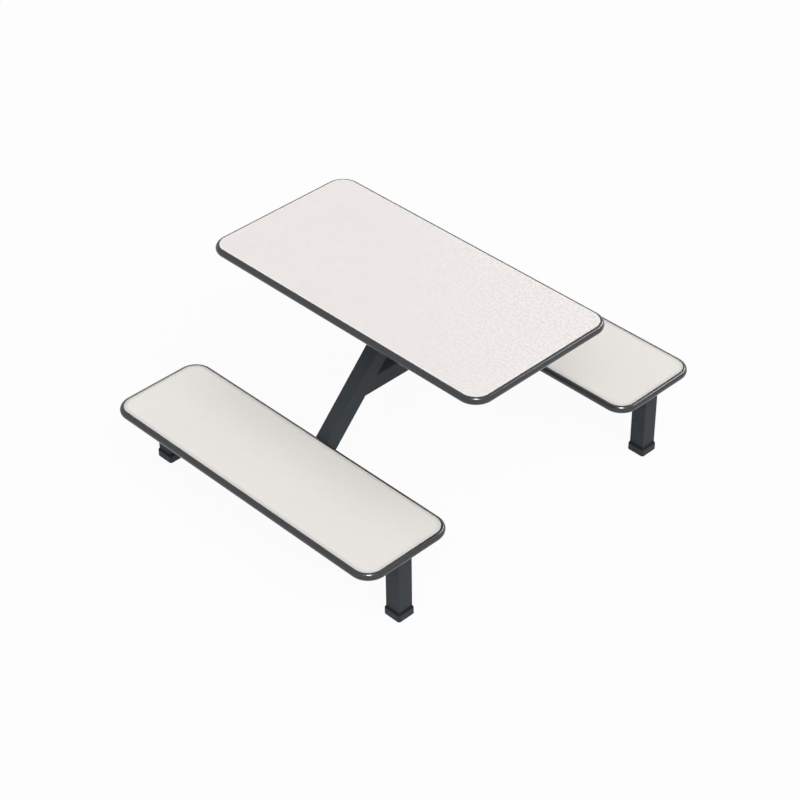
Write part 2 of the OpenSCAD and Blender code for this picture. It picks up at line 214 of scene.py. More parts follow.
class ColourSettings(bpy.types.PropertyGroup):
    """Colours of the finishes"""

    table_white: FloatVectorProperty(
        name="Table white", description="Laminate of the tabletop",
        subtype="COLOR", default=(0.875, 0.833, 0.811))
    seat_white: FloatVectorProperty(
        name="Seat white", description="Laminate of the seats",
        subtype="COLOR", default=(0.858, 0.833, 0.793))
    # Painted highlight round the table laminate's rim
    rim_white: FloatVectorProperty(
        name="Rim highlight white", description="Bright line at the table laminate's rim",
        subtype="COLOR", default=(0.90, 0.885, 0.87))
    # Painted shade at the seats' rolled rim
    worn_white: FloatVectorProperty(
        name="Rim shade white", description="Laminate at the seats' rim",
        subtype="COLOR", default=(0.66, 0.64, 0.615))
    moulding: FloatVectorProperty(
        name="Moulding", description="Edge moulding",
        subtype="COLOR", default=(0.022, 0.024, 0.028))
    paint: FloatVectorProperty(
        name="Paint", description="Powder coat of the frame",
        subtype="COLOR", default=(0.0328, 0.0389, 0.0439))
    cap: FloatVectorProperty(
        name="Cap", description="Plastic of the foot caps",
        subtype="COLOR", default=(0.027, 0.031, 0.035))
    plug: FloatVectorProperty(
        name="Plug", description="Plastic of the spines' end plugs",
        subtype="COLOR", default=(0.02, 0.02, 0.022))
    zinc: FloatVectorProperty(
        name="Zinc", description="Plating of the bolts and screws",
        subtype="COLOR", default=(0.62, 0.64, 0.67))
    backer: FloatVectorProperty(
        name="Backer", description="Backing sheet under the boards",
        subtype="COLOR", default=(0.62, 0.61, 0.58))
    core: FloatVectorProperty(
        name="Core", description="Particle board",
        subtype="COLOR", default=(0.52, 0.38, 0.23))


class StudioSettings(bpy.types.PropertyGroup):
    """Camera, lamps and floor"""

    azimuth: FloatProperty(
        name="Azimuth", description="Turn of the camera round the desk",
        default=math.radians(46.112), subtype="ANGLE")
    elevation: FloatProperty(
        name="Elevation", description="Height of the camera above the horizon",
        default=math.radians(37.615), subtype="ANGLE")
    roll: FloatProperty(
        name="Roll", description="Tilt of the camera about its own axis",
        default=math.radians(-0.756), subtype="ANGLE")
    target: FloatVectorProperty(
        name="Target", description="Point at the middle of the picture",
        subtype="TRANSLATION", default=(0.05388, -0.07304, 0.23071))
    distance: FloatProperty(
        name="Distance", description="From the camera to its target",
        default=5.2423, unit="LENGTH")
    lens: FloatProperty(
        name="Lens", description="Focal length", default=98.907, unit="CAMERA")
    sensor: FloatProperty(
        name="Sensor", description="Width of the camera's sensor", default=36, unit="CAMERA")
    view_range: FloatProperty(
        name="View range", description="Farthest distance that the camera sees",
        default=100, unit="LENGTH")
    floor_size: FloatProperty(
        name="Floor size", description="Length of the floor's sides",
        default=40, unit="LENGTH")
    floor_drop: FloatProperty(
        name="Floor drop", description="How far below the soles the floor lies",
        default=0.2 * MM, unit="LENGTH")
    floor_grey: FloatProperty(
        name="Floor grey", description="Share of the light that the floor gives back",
        default=0.8, min=0, max=1, subtype="FACTOR")
    floor_white: FloatProperty(
        name="Floor white", description="Share of plain white in the floor that the camera sees",
        default=0.94, min=0, max=1, subtype="FACTOR")
    sky: FloatProperty(
        name="Sky", description="Strength of the even light from all round", default=0.5)
    key: FloatProperty(
        name="Key", description="Strength of the wide soft lamp at the camera's right",
        default=2.4)
    key_azimuth: FloatProperty(
        name="Key azimuth", description="Turn of the soft lamp round the desk",
        default=math.radians(64), subtype="ANGLE")
    key_elevation: FloatProperty(
        name="Key elevation", description="Height of the soft lamp above the horizon",
        default=math.radians(38), subtype="ANGLE")
    key_spread: FloatProperty(
        name="Key spread", description="Width of the soft lamp, as seen from the desk",
        default=math.radians(60), subtype="ANGLE")
    glint: FloatProperty(
        name="Glint", description="Strength of the high lamp that only glints", default=3.8)
    glint_azimuth: FloatProperty(
        name="Glint azimuth", description="Turn of the high lamp round the desk",
        default=math.radians(50), subtype="ANGLE")
    glint_elevation: FloatProperty(
        name="Glint elevation", description="Height of the high lamp above the horizon",
        default=math.radians(70), subtype="ANGLE")
    glint_spread: FloatProperty(
        name="Glint spread", description="Width of the high lamp, as seen from the desk",
        default=math.radians(12), subtype="ANGLE")
    sun_distance: FloatProperty(
        name="Sun distance", description="How far off the soft and the high lamp are drawn",
        default=6, unit="LENGTH")
    strip: FloatProperty(
        name="Strip", description="Power of the slanted strip lamp behind the desk",
        default=140, unit="POWER")
    strip_place: FloatVectorProperty(
        name="Strip place", description="Middle of the strip lamp",
        subtype="TRANSLATION", default=(1.25, 4.17, 2.9))
    strip_length: FloatProperty(
        name="Strip length", description="Length of the strip lamp", default=4, unit="LENGTH")
    strip_width: FloatProperty(
        name="Strip width", description="Width of the strip lamp", default=0.5, unit="LENGTH")
    strip_slant: FloatProperty(
        name="Strip slant", description="Turn of the strip lamp about its own axis",
        default=math.radians(-43), subtype="ANGLE")


def deselect():
    """Leaves edit mode and selects nothing"""
    if bpy.context.object and bpy.context.object.mode != "OBJECT":
        bpy.ops.object.mode_set(mode="OBJECT")
    bpy.ops.object.select_all(action="DESELECT")


def activate(piece):
    """Makes one piece the selected and active object"""
    deselect()
    piece.select_set(True)
    bpy.context.view_layer.objects.active = piece


def choose(piece, kind, test):
    """Opens a piece in edit mode with the faces, edges or points selected that pass a test"""
    activate(piece)
    bpy.ops.object.mode_set(mode="EDIT")
    bpy.ops.mesh.select_mode(type=kind)
    bpy.ops.mesh.select_all(action="DESELECT")
    bpy.ops.object.mode_set(mode="OBJECT")
    mesh = piece.data
    if kind == "FACE":
        for face in mesh.polygons:
            face.select = test(face.center, face.normal)
    elif kind == "EDGE":
        for edge in mesh.edges:
            a, b = (mesh.vertices[i].co for i in edge.vertices)
            edge.select = test(a, b)
    else:
        for point in mesh.vertices:
            point.select = test(point.co)
    bpy.ops.object.mode_set(mode="EDIT")


def every(*parts):
    """Test that every part passes"""
    return True


def faces_up(centre, normal):
    """Test that a face looks up"""
    return normal.z > ALIKE


def in_plane(point, normal):
    """Test that an edge lies in the plane through a point"""
    return lambda *ends: all(abs((end - point).dot(normal)) < TOUCH for end in ends)


def settle(piece):
    """Leaves edit mode and puts the piece's place into its mesh"""
    activate(piece)
    bpy.ops.object.transform_apply(location=True, rotation=True, scale=True)


def christen(piece, name):
    """Gives a piece and its mesh the same name"""
    piece.name = name
    piece.data.name = name
    return piece


def block(name, low, high):
    """Box between two corners, as a start for a piece"""
    deselect()
    bpy.ops.mesh.primitive_cube_add(size=1, location=(low + high) / 2, scale=high - low)
    piece = christen(bpy.context.object, name)
    settle(piece)
    return piece


def round_edges(piece, radius, steps, test):
    """Rounds the edges of a piece whose two ends pass a test"""
    choose(piece, "EDGE", test)
    bpy.ops.mesh.bevel(offset=radius, segments=steps, affect="EDGES", clamp_overlap=False)
    bpy.ops.object.mode_set(mode="OBJECT")


def round_along(piece, along, radius, steps):
    """Rounds the edges of a piece that run along a direction"""
    round_edges(piece, radius, steps, lambda a, b: abs((b - a).normalized().dot(along)) > ALIKE)


def round_rim(piece, point, normal, radius, steps):
    """Rounds the edges of a piece that lie in the plane through a point"""
    round_edges(piece, radius, steps, in_plane(point, normal))


def smooth(piece, angle):
    """Smooth shading that keeps the large flat faces flat"""
    activate(piece)
    bpy.ops.object.shade_smooth_by_angle(angle=math.radians(angle))
    bpy.ops.object.modifier_add(type="WEIGHTED_NORMAL")
    piece.modifiers[-1].keep_sharp = True
    bpy.ops.object.modifier_apply(modifier=piece.modifiers[-1].name)


def mirrored(piece, axis):
    """Copy of a piece, with a mesh of its own, on the other side of the desk's middle"""
    word, other = TWINS[axis]
    activate(piece)
    bpy.ops.object.duplicate(linked=False)
    twin = christen(bpy.context.object, piece.name.replace(word, other))
    bpy.ops.transform.mirror(
        orient_type="GLOBAL", center_override=(0, 0, 0),
        constraint_axis=[name == axis for name in "XYZ"])
    settle(twin)
    choose(twin, "FACE", every)
    bpy.ops.mesh.normals_make_consistent(inside=False)
    bpy.ops.object.mode_set(mode="OBJECT")
    return twin


def dress(piece, finish, stands):
    """Gives a finished piece its material and body, and hides the CAD node that it stands for"""
    piece.data.materials.clear()
    piece.data.materials.append(finish)
    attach(piece, BODY)
    if stands:
        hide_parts(piece.name.rsplit("_", 1)[0])


def complete(piece, axes, finish, stands=True, angle=SHARP):
    """Mirrors a piece along each given axis, then smooths and dresses it and its copies"""
    group = [piece]
    for axis in axes:
        group += [mirrored(one, axis) for one in group]
    for one in group:
        smooth(one, angle)
        dress(one, finish, stands)


class Socket:
    """Output of a shader node that takes part in Python expressions"""

    def __init__(self, nodes, output):
        self.nodes = nodes
        self.output = output

    def math(self, operation, *values):
        """One step of arithmetic, with numbers or other outputs"""
        return self.nodes.node("ShaderNodeMath", {"operation": operation}, *values)

    def __add__(self, other):
        return self.math("ADD", self, other)

    def __radd__(self, other):
        return self.math("ADD", other, self)

    def __sub__(self, other):
        return self.math("SUBTRACT", self, other)

    def __rsub__(self, other):
        return self.math("SUBTRACT", other, self)

    def __mul__(self, other):
        return self.math("MULTIPLY", self, other)

    def __rmul__(self, other):
        return self.math("MULTIPLY", other, self)

    def __abs__(self):
        return self.math("ABSOLUTE", self)

    def at_least(self, low):
        """The larger of this and another value"""
        return self.math("MAXIMUM", self, low)

    def root(self):
        """Square root"""
        return self.math("SQRT", self)

    def step(self, low, high):
        """Smooth change from 0 at low to 1 at high"""
        settings = {"interpolation_type": "SMOOTHSTEP"}
        return self.nodes.node("ShaderNodeMapRange", settings, self, low, high, 0.0, 1.0)


class Nodes:
    """Shader nodes of a material or a world"""

    def __init__(self, owner):
        owner.use_nodes = True
        self.tree = owner.node_tree
        self.tree.nodes.clear()

    def node(self, kind, settings, *values, output=None, **named):
        """Adds a node with its settings, and fills or links its sockets by place or by name"""
        node = self.tree.nodes.new(kind)
        for key, value in settings.items():
            setattr(node, key, value)
        inputs = [socket for socket in node.inputs if socket.enabled]
        pairs = list(zip(inputs, values))
        pairs += [(self.called(inputs, name.replace("_", " ")), value) for name, value in named.items()]
        for socket, value in pairs:
            if isinstance(value, Socket):
                self.tree.links.new(value.output, socket)
            elif value is not None:
                socket.default_value = value
        outputs = [socket for socket in node.outputs if socket.enabled]
        if outputs:
            return Socket(self, self.called(outputs, output or outputs[0].name))

    def called(self, sockets, name):
        """The first socket of a name"""
        return next(socket for socket in sockets if socket.name == name)


class Finish(Nodes):
    """Builds one procedural material"""

    def __init__(self, name):
        self.material = bpy.data.materials.new(name)
        super().__init__(self.material)
        self.coordinates = self.node("ShaderNodeTexCoord", {}, output="Object")

    def noise(self, scale, detail=3.0, roughness=0.5, place=None):
        """Even noise of about the given number of cells a metre, from 0 to 1"""
        return self.node(
            "ShaderNodeTexNoise", {}, output="Fac", Vector=place or self.coordinates, Scale=scale,
            Detail=detail, Roughness=roughness)

    def stretched(self, scale):
        """Object coordinates scaled by three factors"""
        return self.node("ShaderNodeMapping", {"vector_type": "POINT"}, Vector=self.coordinates, Scale=scale)

    def mix(self, share, first, second):
        """Blend of two colours"""
        first, second = (c if isinstance(c, Socket) else (*c, 1.0) for c in (first, second))
        return self.node(
            "ShaderNodeMix", {"data_type": "RGBA"}, Factor=share, A=first, B=second, output="Result")

    def dim(self, share, colour, level):
        """A colour, dimmed to a level where the share is 1"""
        return self.node(
            "ShaderNodeMix", {"data_type": "RGBA", "blend_type": "MULTIPLY"}, Factor=share, A=colour,
            B=(level, level, level, 1.0), output="Result")

    def along(self, axis):
        """Object coordinate along one axis"""
        return self.node("ShaderNodeSeparateXYZ", {}, self.coordinates, output=axis)

    def bump(self, height, distance):
        """Normal of a relief of the given height"""
        return self.node("ShaderNodeBump", {}, Height=height, Distance=distance, Strength=1.0)

    def surface(self, colour, roughness, normal=None, **fixed):
        """Ends the material in a Principled shader"""
        shader = self.node(
            "ShaderNodeBsdfPrincipled", {}, Base_Color=colour, Roughness=roughness, Normal=normal, **fixed)
        self.node("ShaderNodeOutputMaterial", {}, Surface=shader)
        return self.material


def shade(colour, factor):
    """A colour made lighter or darker"""
    return tuple(min(1.0, channel * factor) for channel in colour)


def corner_radius(board):
    """Outer corner radius of a board, read off the straight stretch along its band's long side"""
    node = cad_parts[board + "_edge_band"]
    low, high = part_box(board + "_edge_band")
    ends = [v.co.x for v in node.data.vertices if abs(v.co.y - low.y) < TOUCH]
    return high.x - max(ends)


def sheet_radius(board):
    """Corner radius of a board's laminate, which lies inside its edge band"""
    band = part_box(board + "_edge_band")[1].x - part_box(board + "_laminate")[1].x
    return corner_radius(board) - band


class Laminate(Finish):
    """White laminate of a board and its twin, built up layer by layer"""

    def __init__(self, board, white, mottling):
        super().__init__(board + "_white_laminate")
        self.board = board
        self.white = white
        self.cloud = self.noise(7.0, detail=4.0)
        self.speckle = self.noise(900.0, detail=1.0)
        blotch = self.noise(75.0, detail=4.0, roughness=0.6)
        body = self.mix(self.cloud, shade(white, 0.985), shade(white, 1.012))
        body = self.mix(blotch.step(0.3, 0.7) * mottling, body, shade(white, 0.86))
        self.body = self.mix(self.speckle.step(0.58, 0.75) * 0.5, body, shade(white, 1.03))

    def add_pebble_sheen(self, start, end):
        """Fine pebbles with a painted sheen that shows more and more between two sums of X and Y"""
        pebbles = self.noise(150.0, detail=2.0).step(0.38, 0.62)
        # Painted sheen: pebbles a little lighter and darker than the white
        pebble_sheen = self.mix(pebbles, shade(self.white, 0.94), shade(self.white, 1.10))
        self.body = self.mix((self.along("X") + self.along("Y")).step(start, end), self.body, pebble_sheen)

    def add_painted_table_shade(self, line, start, end):
        """Painted shade from the table above: a greyer side, that fades between two distances from a line
        along X and by 60 % towards its ends
        """
        side = 1 - abs(self.along("Y") - line).step(start, end)
        ends = abs(self.along("X")).step(0.2, 0.45)
        self.body = self.dim(side * (1 - 0.6 * ends), self.body, 0.88)

    def add_painted_rim(self, colour, start, end):
        """Another colour towards the rim, a painted highlight on the table and painted shade on the seats,
        that comes in between two distances from it
        """
        low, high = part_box(self.board + "_laminate")
        half = (high - low) / 2
        radius = sheet_radius(self.board)
        out_x = (abs(self.along("X")) - (half.x - radius)).at_least(0.0)
        out_y = (abs(abs(self.along("Y")) - abs(low.y + high.y) / 2) - (half.y - radius)).at_least(0.0)
        reach = (out_x * out_x + out_y * out_y).root()
        # Painted highlight or painted shade, blended in towards the rim
        self.body = self.mix(reach.step(radius - start, radius - end), self.body, colour)

    def finished(self, relief):
        """Ends the material, with its fine grain"""
        grain = self.node(
            "ShaderNodeTexVoronoi", {"feature": "SMOOTH_F1"}, Vector=self.coordinates, Scale=620.0,
            output="Distance")
        peel = self.noise(260.0, detail=2.0)
        rough = 0.34 + self.cloud * 0.06 + self.speckle * 0.08
        normal = self.bump(grain * 0.7 + peel * 0.3, relief)
        return self.surface(self.body, rough, normal, Specular_IOR_Level=0.03)


def moulding_finish():
    """Charcoal extruded plastic, satin, with faint scuffs"""
    colour = tuple(bpy.context.scene.desk_colours.moulding)
    f = Finish("edge_moulding_plastic")
    cloud = f.noise(30.0, detail=5.0)
    scuff = f.noise(420.0, detail=6.0, roughness=0.7)
    body = f.mix(cloud, shade(colour, 0.88), shade(colour, 1.14))
    body = f.mix(scuff.step(0.64, 0.78) * 0.35, body, shade(colour, 2.2))
    rough = 0.14 + cloud * 0.06 + scuff * 0.06
    return f.surface(body, rough, f.bump(scuff, 0.01 * MM), Specular_IOR_Level=0.5)


def paint_finish():
    """Slate powder coat with its orange peel and small specks, and painted shade that darkens the legs' feet
    above their caps
    """
    colour = tuple(bpy.context.scene.desk_colours.paint)
    settings = bpy.context.scene.desk_frame
    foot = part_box("near_left_foot_cap")[1].z
    f = Finish("frame_powder_coat")
    peel = f.noise(850.0, detail=2.0)
    cloud = f.noise(9.0, detail=4.0)
    speck = f.noise(1500.0, detail=1.0)
    body = f.mix(cloud, shade(colour, 0.9), shade(colour, 1.1))
    body = f.mix(speck.step(0.62, 0.75) * 0.4, body, shade(colour, 1.7))
    # Painted shade: the paint darkens from a little above each foot cap down to it
    above_foot_shade = f.along("Z").step(foot - settings.foot_shade_start, foot + settings.foot_shade_height)
    body = f.mix(above_foot_shade, shade(colour, 0.3), body)
    rough = 0.5 + cloud * 0.08 + peel * 0.08
    return f.surface(body, rough, f.bump(peel, 0.06 * MM), Specular_IOR_Level=0.1)


def weld_finish():
    """Powder coat over the ripples of a weld"""
    colour = tuple(bpy.context.scene.desk_colours.paint)
    f = Finish("painted_weld")
    ripple = f.noise(650.0, detail=2.0)
    body = f.mix(ripple, shade(colour, 0.8), shade(colour, 1.15))
    return f.surface(body, 0.4 + ripple * 0.12, f.bump(ripple, 0.5 * MM))


def plastic_finish(name, colour, ridge=None):
    """Moulded plastic with a fine spark-eroded grain, and painted shade on a cap's shoulder above its ridge
    """
    colour = tuple(colour)
    f = Finish(name)
    grain = f.noise(1300.0, detail=2.0)
    cloud = f.noise(40.0, detail=3.0)
    body = f.mix(cloud, shade(colour, 0.9), shade(colour, 1.12))
    if ridge:
        # Painted shade on the cap's shoulder
        dark = f.along("Z").step(ridge, ridge + bpy.context.scene.desk_frame.cap_shade_fade)
        body = f.mix(dark, body, shade(colour, 0.3))
    rough = 0.38 + grain * 0.12 + cloud * 0.05
    return f.surface(body, rough, f.bump(grain, 0.05 * MM), Specular_IOR_Level=0.12)


def zinc_finish():
    """Bright zinc plate with its faint blotches"""
    colour = tuple(bpy.context.scene.desk_colours.zinc)
    f = Finish("zinc_plate")
    blotch = f.noise(260.0, detail=4.0)
    body = f.mix(blotch, shade(colour, 0.86), shade(colour, 1.1))
    rough = 0.26 + blotch * 0.16
    return f.surface(body, rough, f.bump(f.noise(2400.0), 0.01 * MM), Metallic=1.0)


def backer_finish():
    """Matt backing sheet with faint fibres"""
    colour = tuple(bpy.context.scene.desk_colours.backer)
    f = Finish("backer_sheet_matt")
    fibre = f.noise(90.0, detail=6.0, place=f.stretched((0.12, 1.0, 1.0)))
    fleck = f.noise(700.0, detail=2.0)
    body = f.mix(fibre, shade(colour, 0.93), shade(colour, 1.05))
    body = f.mix(fleck.step(0.62, 0.74) * 0.3, body, shade(colour, 0.8))
    return f.surface(body, 0.6 + fleck * 0.1, f.bump(fibre, 0.04 * MM))


def core_finish():
    """Particle board: pressed chips in two browns"""
    colour = tuple(bpy.context.scene.desk_colours.core)
    f = Finish("particle_board")
    place = f.stretched((1.0, 1.0, 3.0))
    chips = f.node("ShaderNodeTexVoronoi", {}, Vector=place, Scale=320.0, output="Distance")
    dust = f.noise(1400.0, detail=2.0)
    body = f.mix(chips.step(0.1, 0.7), shade(colour, 0.7), shade(colour, 1.25))
    body = f.mix(dust * 0.4, body, shade(colour, 1.4))
    return f.surface(body, 0.75 + dust * 0.1, f.bump(chips, 0.1 * MM))


def material(name, make):
    """The material of that name, made the first time it is asked for"""
    return bpy.data.materials.get(name) or make()


def paint():
    """The frame's powder coat"""
    return material("frame_powder_coat", paint_finish)


def beam(name, start, end, width, cuts=()):
    """Square tube between two points with rounded long edges, its ends trimmed by planes"""
    settings = bpy.context.scene.desk_frame
    run = end - start
    along = run.normalized()
    deselect()
    bpy.ops.mesh.primitive_cube_add(
        size=1, location=(start + end) / 2, rotation=along.to_track_quat("Z", "Y").to_euler(),
        scale=(width, width, run.length))
    piece = christen(bpy.context.object, name)
    settle(piece)
    round_along(piece, along, settings.arris, settings.arris_steps)
    for point, normal in cuts:
        choose(piece, "FACE", every)
        bpy.ops.mesh.bisect(plane_co=point, plane_no=normal, clear_outer=True, use_fill=True)
        bpy.ops.object.mode_set(mode="OBJECT")
    return piece


def weld(name, piece, point, normal, axes=""):
    """Beads round the end of a tube and of its copies: its end loop, thickened to a round section"""
    choose(piece, "EDGE", in_plane(point, normal))
    bpy.ops.mesh.duplicate()
    bpy.ops.mesh.separate(type="SELECTED")
    bpy.ops.object.mode_set(mode="OBJECT")
    activate(next(o for o in bpy.context.selected_objects if o != piece))
    bpy.ops.object.convert(target="CURVE")
    bead = bpy.context.object
    bead.data.bevel_depth = bpy.context.scene.desk_frame.weld_radius
    bead.data.bevel_resolution = WELD_STEPS
    bpy.ops.object.convert(target="MESH")
    bead = christen(bpy.context.object, name)
    finish = material("painted_weld", weld_finish)
    complete(bead, axes, finish, stands=False, angle=WELD_SHARP)


class DESK_OT_laminates(bpy.types.Operator):
    """Models the white faces of the tabletop and the two seats"""

    bl_idname = "desk.laminates"
    bl_label = "Laminates"

    def execute(self, context):
        self.tabletop(context.scene.desk_boards, context.scene.desk_colours)
        self.seats(context.scene.desk_boards, context.scene.desk_colours)
        return {"FINISHED"}

    def tabletop(self, settings, colours):
        """Flat sheet with a fine bevel, a painted highlight round its rim and a painted sheen on its pebbles
        towards one corner
        """
        table = self.sheet(settings, "tabletop", 0)
        round_rim(table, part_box("tabletop_laminate")[1], UP, settings.rim_bevel, BEVEL_STEPS)
        finish = Laminate("tabletop", colours.table_white, settings.table_mottling)
        # Painted sheen on the pebbles towards the far right corner
        finish.add_pebble_sheen(settings.sheen_start, settings.sheen_end)
        # Painted highlight: a brighter colour painted round the table's rim
        finish.add_painted_rim(colours.rim_white, settings.rim_highlight_width, settings.rim_highlight_width * settings.rim_core)
        complete(table, "", finish.finished(settings.table_relief))

    def seats(self, settings, colours):
        """Sheets with a rolled rim and painted shade towards it, and on the near one also painted shade
        towards the table
        """
        seat = self.sheet(settings, "near_seat", settings.roll_drop)
        choose(seat, "FACE", faces_up)
        # Rings that rise steeply at the rim and flatten towards the middle
        ring = 1 / settings.roll_steps
        rises = [settings.roll_drop * (1 - (1 - i * ring) ** 2) for i in range(settings.roll_steps + 1)]
        for before, after in zip(rises, rises[1:]):
            bpy.ops.mesh.inset(thickness=settings.roll_width * ring, depth=after - before)
        bpy.ops.object.mode_set(mode="OBJECT")
        finish = Laminate("near_seat", colours.seat_white, settings.seat_mottling)
        # Painted shade from the table, on the near seat alone
        finish.add_painted_table_shade(settings.shade_line, settings.shade_start, settings.shade_end)
        # Painted shade at the seats' rim
        finish.add_painted_rim(colours.worn_white, settings.rim_shade_width, 0)
        complete(seat, "Y", finish.finished(settings.seat_relief))

    def sheet(self, settings, board, drop):
        """Round-cornered sheet in a laminate's place, lower than it by the drop"""
        low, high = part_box(board + "_laminate")
        sheet = block(board + "_laminate_face", low, high - drop * UP)
        round_along(sheet, UP, sheet_radius(board), settings.corner_steps)
        return sheet


class DESK_OT_edge_mouldings(bpy.types.Operator):
    """Models the half-round moulding round each board"""

    bl_idname = "desk.edge_mouldings"
    bl_label = "Edge mouldings"

    def execute(self, context):
        finish = moulding_finish()
        for board, axes in (("tabletop", ""), ("near_seat", "Y")):
            piece = self.moulding(context.scene.desk_boards, board)
            complete(piece, axes, finish, angle=MOULDING_SHARP)
        return {"FINISHED"}

    def moulding(self, settings, board):
        """Half circle with a flat back, led along the board's four sides and round its corners"""
        low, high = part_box(board + "_edge_band")
        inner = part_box(board + "_laminate")[1]
        middle = (low + high) / 2
        corner_r = corner_radius(board)
        reach_x = high.x - corner_r
        reach_y = (high.y - low.y) / 2 - corner_r
        start = Vector((-reach_x, low.y + high.x - inner.x, middle.z))
        deselect()
        bpy.ops.mesh.primitive_circle_add(
            vertices=settings.moulding_points, radius=(high.z - low.z) / 2, location=start,
            rotation=(0, math.pi / 2, 0))
        piece = christen(bpy.context.object, board + "_edge_band_moulding")
        settle(piece)
        choose(piece, "VERT", lambda p: p.y > start.y + TOUCH)
        bpy.ops.mesh.delete(type="VERT")
        choose(piece, "VERT", lambda p: abs(p.y - start.y) < TOUCH)
        bpy.ops.mesh.edge_face_add()
        choose(piece, "EDGE", every)
        # Each side's run, and the middle of the corner that follows it
        right = 2 * reach_x * RIGHT
        far = 2 * reach_y * FAR
        turn = Vector((reach_x, middle.y - reach_y, middle.z))
        runs = [(right, turn), (far, turn + far), (-right, turn + far - right), (-far, turn - right)]
        for run, corner in runs:
            bpy.ops.mesh.extrude_edges_move(TRANSFORM_OT_translate={"value": run})
            bpy.ops.mesh.spin(steps=settings.corner_steps, angle=-math.pi / 2, center=corner, axis=UP)
        bpy.ops.mesh.select_all(action="SELECT")
        bpy.ops.mesh.remove_doubles(threshold=TOUCH)
        bpy.ops.mesh.normals_make_consistent(inside=False)
        bpy.ops.object.mode_set(mode="OBJECT")
        return piece


class DESK_OT_frame_members(bpy.types.Operator):
    """Models the frame's square tubes and the beads that join them"""

    bl_idname = "desk.frame_members"
    bl_label = "Frame members"

    def execute(self, context):
        low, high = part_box("king_post")
        width = high.x - low.x
        arm_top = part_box("near_seat_arm")[1].z
        # Where the upper faces of arm and strut meet, and how steeply the strut rises from there
        bend = Vector((0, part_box("near_strut")[0].y, arm_top))
        lean = math.atan2(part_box("tabletop_backer")[0].z - arm_top, -bend.y)
        self.post(low, high, width)
        self.crossbar(context.scene.desk_frame, width, bend, lean)
        self.strut(width, bend, lean)
        self.arm(width, bend, lean)
        self.rail(width)
        self.spine(width)
        return {"FINISHED"}

    def post(self, low, high, width):
        """The upright under the tabletop"""
        post = beam("king_post_tube", low.z * UP, high.z * UP, width)
        weld("post_foot_weld", post, low.z * UP, UP)
        complete(post, "", paint())

    def crossbar(self, settings, width, bend, lean):
        """The bar runs a little way into the struts' rounded edges, where its welds are ground flush"""
        low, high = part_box("crossbar")
        height = (low.z + high.z) / 2 * UP
        cuts = []
        for sign in (-1, 1):
            out = Vector((0, sign * math.sin(lean), math.cos(lean)))
            cuts.append((Vector((0, -sign * bend.y, bend.z)) + out * (settings.arris - width), out))
        reach = Vector((0, bend.y, 0))
        bar = beam("crossbar_tube", height + reach, height - reach, width, cuts)
        complete(bar, "", paint())

    def strut(self, width, bend, lean):
        """The slope from a seat's arm, mitred, up to the post's side"""
        along = Vector((0, math.cos(lean), math.sin(lean)))
        out = Vector((0, -math.sin(lean), math.cos(lean)))
        mitre = Vector((0, -math.cos(lean / 2), -math.sin(lean / 2)))
        post_face = Vector((0, -width / 2, 0))
        start = bend - out * (width / 2)
        cuts = [(bend, mitre), (post_face, FAR)]
        strut = beam("near_strut_tube", start - along * width, start - along * (2 * bend.y), width, cuts)
        weld("near_mitre_weld", strut, bend, mitre, "Y")
        weld("near_post_weld", strut, post_face, FAR, "Y")
        complete(strut, "Y", paint())

    def arm(self, width, bend, lean):
        """The level tube under a seat, mitred to the strut"""
        mitre = Vector((0, math.cos(lean / 2), math.sin(lean / 2)))
        start = Vector((0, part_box("near_seat_arm")[0].y, bend.z - width / 2))
        end = Vector((0, bend.y + width, start.z))
        arm = beam("near_seat_arm_tube", start, end, width, [(bend, mitre)])
        weld("near_arm_weld", arm, start, FAR, "Y")
        complete(arm, "Y", paint())

    def rail(self, width):
        """The tube between the two legs of a seat"""
        low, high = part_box("near_seat_rail")
        middle = (low + high) / 2
        left = Vector((low.x, middle.y, middle.z))
        rail = beam("near_seat_rail_tube", left, Vector((high.x, middle.y, middle.z)), width)
        weld("near_left_rail_weld", rail, left, RIGHT, "XY")
        complete(rail, "Y", paint())

    def spine(self, width):
        """The tube from the post towards the tabletop's end"""
        low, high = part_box("left_spine")
        middle = (low + high) / 2
        inner = Vector((high.x, middle.y, middle.z))
        spine = beam("left_spine_tube", inner, Vector((low.x, middle.y, middle.z)), width)
        weld("left_spine_weld", spine, inner, RIGHT, "X")
        complete(spine, "X", paint())


class DESK_OT_legs(bpy.types.Operator):
    """Models one leg with its foot cap, and mirrors them to the four corners"""

    bl_idname = "desk.legs"
    bl_label = "Legs and foot caps"

    def execute(self, context):
        low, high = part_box("near_left_leg")
        axis = (low + high) / 2
        top = Vector((axis.x, axis.y, high.z))
        leg = beam("near_left_leg_tube", Vector((axis.x, axis.y, low.z)), top, high.x - low.x)
        weld("near_left_leg_weld", leg, top, UP, "XY")
        complete(leg, "XY", paint())
        settings = context.scene.desk_frame
        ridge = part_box("near_left_foot_cap")[1].z - settings.cap_slope_height
        # The caps' plastic carries painted shade above this ridge
        finish = plastic_finish("foot_cap_plastic", context.scene.desk_colours.cap, ridge)
        complete(self.cap(settings, low), "XY", finish)
        return {"FINISHED"}

    def cap(self, settings, leg_low):
        """Foot cap with a sloping shoulder and a narrow gap round its leg"""
        low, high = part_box("near_left_foot_cap")
        ridge = high - settings.cap_slope_height * UP
        lip = leg_low.x - settings.cap_play - low.x - settings.cap_slope_width
        cap = block("near_left_foot_cap_moulded", low, ridge)
        round_along(cap, UP, settings.cap_corner, CAP_CORNER_STEPS)
        choose(cap, "FACE", faces_up)
        bpy.ops.mesh.inset(thickness=settings.cap_slope_width, depth=settings.cap_slope_height)
        bpy.ops.mesh.inset(thickness=lip)
        bpy.ops.mesh.extrude_region_move(TRANSFORM_OT_translate={"value": -settings.cap_recess * UP})
        bpy.ops.object.mode_set(mode="OBJECT")
        round_rim(cap, ridge, UP, settings.cap_edge, CAP_EDGE_STEPS)
        round_rim(cap, low, UP, settings.cap_edge, BEVEL_STEPS)
        return cap


